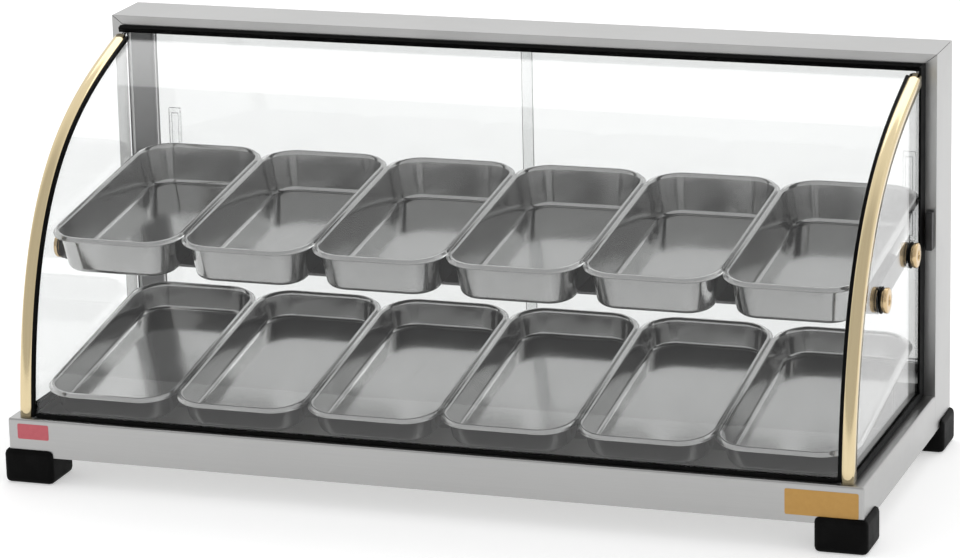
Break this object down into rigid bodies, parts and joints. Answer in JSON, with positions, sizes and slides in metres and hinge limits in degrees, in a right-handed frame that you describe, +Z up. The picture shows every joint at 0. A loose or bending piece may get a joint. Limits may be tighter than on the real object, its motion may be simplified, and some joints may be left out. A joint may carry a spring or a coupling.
{
  "type": "heated display case",
  "caption": "Countertop heated display case with bent front glass, gold edge mouldings, two tiers of sloping steel trays and sliding rear doors.",
  "frame": {"origin": "centre of the footprint, on the plane the feet stand on", "axes": "+X to the right seen from the customer's side, +Y to the server's side at the back, +Z up"},
  "size_m": [0.96, 0.421, 0.45],
  "materials": {
    "stainless_steel": "brushed",
    "tray_steel": "bright pressed",
    "element_steel": "heat-darkened",
    "clear_glass": "clear, polished edges",
    "gold_aluminium": "gold anodised, polished",
    "black_rubber": "matt",
    "brass": "polished",
    "aluminium": "satin",
    "clear_plastic": "clear moulded acrylic",
    "black_plastic": "fine texture",
    "red_lens": "gloss"
  },
  "bodies": {
    "case": {"base_apron": "stainless_steel", "bottom_plate": "stainless_steel", "control_panel": "stainless_steel", "cord_gland": "black_plastic", "deck_plate": "stainless_steel", "door_track_bottom": "aluminium", "door_track_top": "aluminium", "element_support": "stainless_steel", "foot_front_left": "black_rubber", "foot_front_right": "black_rubber", "foot_rear_left": "black_rubber", "foot_rear_right": "black_rubber", "front_glass": "clear_glass", "front_glass_seal": "black_rubber", "glass_clip_right": "black_plastic", "heating_element": "element_steel", "pilot_lamp": "red_lens", "power_switch_housing": "black_plastic", "rear_sill": "stainless_steel", "rear_upright_left": "stainless_steel", "rear_upright_right": "stainless_steel", "shelf_bolt_front_left": "brass", "shelf_bolt_front_right": "brass", "shelf_bolt_rear_left": "brass", "shelf_bolt_rear_right": "brass", "side_glass_left": "clear_glass", "side_glass_right": "clear_glass", "side_seal_bottom_left": "black_rubber", "side_seal_bottom_right": "black_rubber", "side_seal_rear_left": "black_rubber", "side_seal_rear_right": "black_rubber", "thermostat_body": "aluminium", "top_glass_seal": "black_rubber", "top_rail": "stainless_steel", "tray_rest_front": "stainless_steel", "tray_rest_rear": "stainless_steel", "trim_left": "gold_aluminium", "trim_right": "gold_aluminium", "trim_seal_left": "black_rubber", "trim_seal_right": "black_rubber", "upper_shelf": "stainless_steel"},
    "door_left": {"door_glass_left": "clear_glass", "door_pull_left": "clear_plastic"},
    "door_right": {"door_glass_right": "clear_glass", "door_pull_right": "clear_plastic"},
    "thermostat_knob": {"thermostat_knob": "black_plastic"},
    "power_rocker": {"power_switch_rocker": "red_lens"},
    "tray_upper_1": {"tray_upper_1": "tray_steel"},
    "tray_upper_2": {"tray_upper_2": "tray_steel"},
    "tray_upper_3": {"tray_upper_3": "tray_steel"},
    "tray_upper_4": {"tray_upper_4": "tray_steel"},
    "tray_upper_5": {"tray_upper_5": "tray_steel"},
    "tray_upper_6": {"tray_upper_6": "tray_steel"},
    "tray_lower_1": {"tray_lower_1": "tray_steel"},
    "tray_lower_2": {"tray_lower_2": "tray_steel"},
    "tray_lower_3": {"tray_lower_3": "tray_steel"},
    "tray_lower_4": {"tray_lower_4": "tray_steel"},
    "tray_lower_5": {"tray_lower_5": "tray_steel"},
    "tray_lower_6": {"tray_lower_6": "tray_steel"}
  },
  "joints": [
    {"name": "left_door_slide", "type": "slide", "parent": "case", "child": "door_left", "axis": [1, 0, 0], "range_m": [0, 0.434]},
    {"name": "right_door_slide", "type": "slide", "parent": "case", "child": "door_right", "axis": [-1, 0, 0], "range_m": [0, 0.434]},
    {"name": "thermostat_turn", "type": "hinge", "parent": "case", "child": "thermostat_knob", "pos_m": [-0.33, 0.1925, 0.0575], "axis": [0, -1, 0], "range_deg": [0, 270]},
    {"name": "rocker_tilt", "type": "hinge", "parent": "case", "child": "power_rocker", "pos_m": [-0.24, 0.1915, 0.0575], "axis": [-1, 0, 0], "range_deg": [0, 12]},
    {"name": "tray_upper_1_lift", "type": "slide", "parent": "case", "child": "tray_upper_1", "axis": [0, 0.6, 0.8], "range_m": [0, 0.018]},
    {"name": "tray_upper_2_lift", "type": "slide", "parent": "case", "child": "tray_upper_2", "axis": [0, 0.6, 0.8], "range_m": [0, 0.018]},
    {"name": "tray_upper_3_lift", "type": "slide", "parent": "case", "child": "tray_upper_3", "axis": [0, 0.6, 0.8], "range_m": [0, 0.018]},
    {"name": "tray_upper_4_lift", "type": "slide", "parent": "case", "child": "tray_upper_4", "axis": [0, 0.6, 0.8], "range_m": [0, 0.018]},
    {"name": "tray_upper_5_lift", "type": "slide", "parent": "case", "child": "tray_upper_5", "axis": [0, 0.6, 0.8], "range_m": [0, 0.018]},
    {"name": "tray_upper_6_lift", "type": "slide", "parent": "case", "child": "tray_upper_6", "axis": [0, 0.6, 0.8], "range_m": [0, 0.018]},
    {"name": "tray_lower_1_lift", "type": "slide", "parent": "case", "child": "tray_lower_1", "axis": [0, 0, 1], "range_m": [0, 0.05]},
    {"name": "tray_lower_2_lift", "type": "slide", "parent": "case", "child": "tray_lower_2", "axis": [0, 0, 1], "range_m": [0, 0.05]},
    {"name": "tray_lower_3_lift", "type": "slide", "parent": "case", "child": "tray_lower_3", "axis": [0, 0, 1], "range_m": [0, 0.05]},
    {"name": "tray_lower_4_lift", "type": "slide", "parent": "case", "child": "tray_lower_4", "axis": [0, 0, 1], "range_m": [0, 0.05]},
    {"name": "tray_lower_5_lift", "type": "slide", "parent": "case", "child": "tray_lower_5", "axis": [0, 0, 1], "range_m": [0, 0.05]},
    {"name": "tray_lower_6_lift", "type": "slide", "parent": "case", "child": "tray_lower_6", "axis": [0, 0, 1], "range_m": [0, 0.05]}
  ]
}
